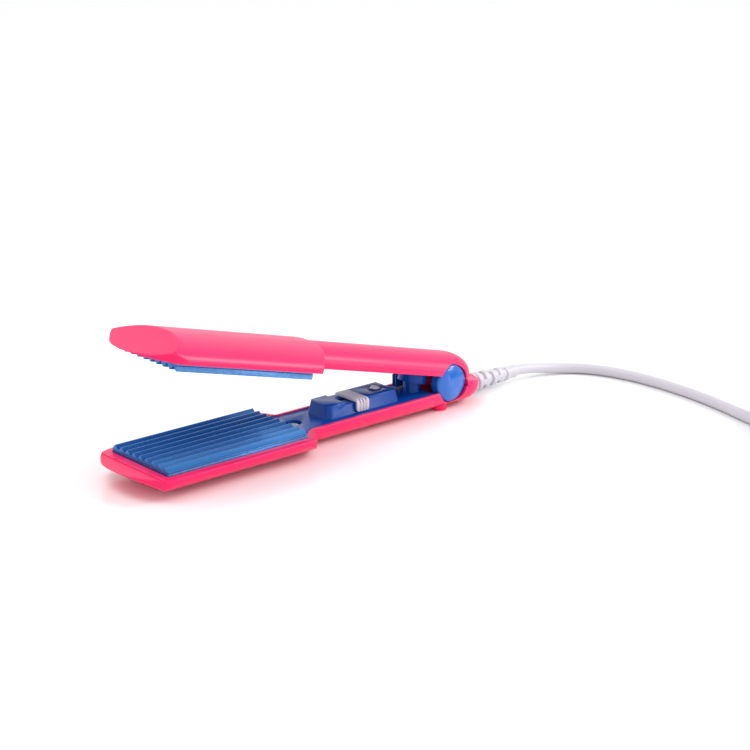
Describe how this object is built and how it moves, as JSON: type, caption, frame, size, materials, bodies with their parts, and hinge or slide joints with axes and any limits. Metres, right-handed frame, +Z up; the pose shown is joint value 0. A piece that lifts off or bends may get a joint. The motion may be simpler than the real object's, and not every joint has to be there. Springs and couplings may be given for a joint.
{
  "type": "hair crimper",
  "caption": "Hair crimper with two sprung arms, ridged interlocking heating plates, a slide switch, hinge caps and a mains cord with its plug.",
  "frame": {"origin": "centre of the bounding box's bottom, cord left out, on the surface that the lower arm lies on", "axes": "+Z up, +X from the tips towards the hinge and the cord, lower arm along X"},
  "size_m": [0.406, 0.2119, 0.0691],
  "materials": {
    "pink_shell": "satin",
    "blue_cover": "gloss",
    "blue_cap": "gloss",
    "anodised_plate": "anodised",
    "black_plastic": "matte",
    "heater_film": "gloss",
    "spring_steel": "bright",
    "lead_sleeve": "woven",
    "fuse_body": "matte",
    "board": "solder mask",
    "lens": "gloss",
    "led": "gloss",
    "zinc_screw": "bright",
    "pale_cord": "satin",
    "nickel_pin": "bright",
    "pale_knob": "satin"
  },
  "bodies": {
    "lower_arm": {"lower_casing": "pink_shell", "lower_inner_cover": "blue_cover", "lower_plate": "anodised_plate", "lower_plate_carrier": "black_plastic", "lower_heater": "heater_film", "lower_heater_clip": "spring_steel", "lower_heater_lead": "lead_sleeve", "mains_lead": "lead_sleeve", "thermal_fuse": "fuse_body", "control_board": "board", "switch_body": "black_plastic", "indicator_lens": "lens", "indicator_led": "led", "lower_cover_screw": "zinc_screw", "cord_clamp_screw_left": "zinc_screw", "cord_clamp_screw_right": "zinc_screw", "hinge_pin": "spring_steel", "hinge_cap_near": "blue_cap", "hinge_cap_far": "blue_cap", "wire_guide": "blue_cover", "cord_clamp": "black_plastic", "return_spring": "spring_steel", "strain_relief": "pale_cord", "cord": "pale_cord", "cord_coil": "pale_cord", "cord_tail": "pale_cord", "plug_body": "pale_cord", "plug_pin_left": "nickel_pin", "plug_pin_right": "nickel_pin"},
    "upper_arm": {"upper_casing": "pink_shell", "upper_inner_cover": "blue_cover", "upper_plate": "anodised_plate", "upper_plate_carrier": "black_plastic", "upper_heater": "heater_film", "upper_heater_clip": "spring_steel", "upper_heater_lead": "lead_sleeve", "upper_cover_screw": "zinc_screw"},
    "switch_slider": {"switch_knob": "pale_knob"}
  },
  "joints": [
    {"name": "arm_hinge", "type": "hinge", "parent": "lower_arm", "child": "upper_arm", "pos_m": [0.08075, 0, 0.0136], "axis": [0, 1, 0], "range_deg": [-14.7, 0], "stiffness_Nm_per_rad": 0.5, "springref_deg": 28.65, "deforming": ["return_spring"]},
    {"name": "switch_slide", "type": "slide", "parent": "lower_arm", "child": "switch_slider", "axis": [-1, 0, 0], "range_m": [0, 0.0052]}
  ]
}
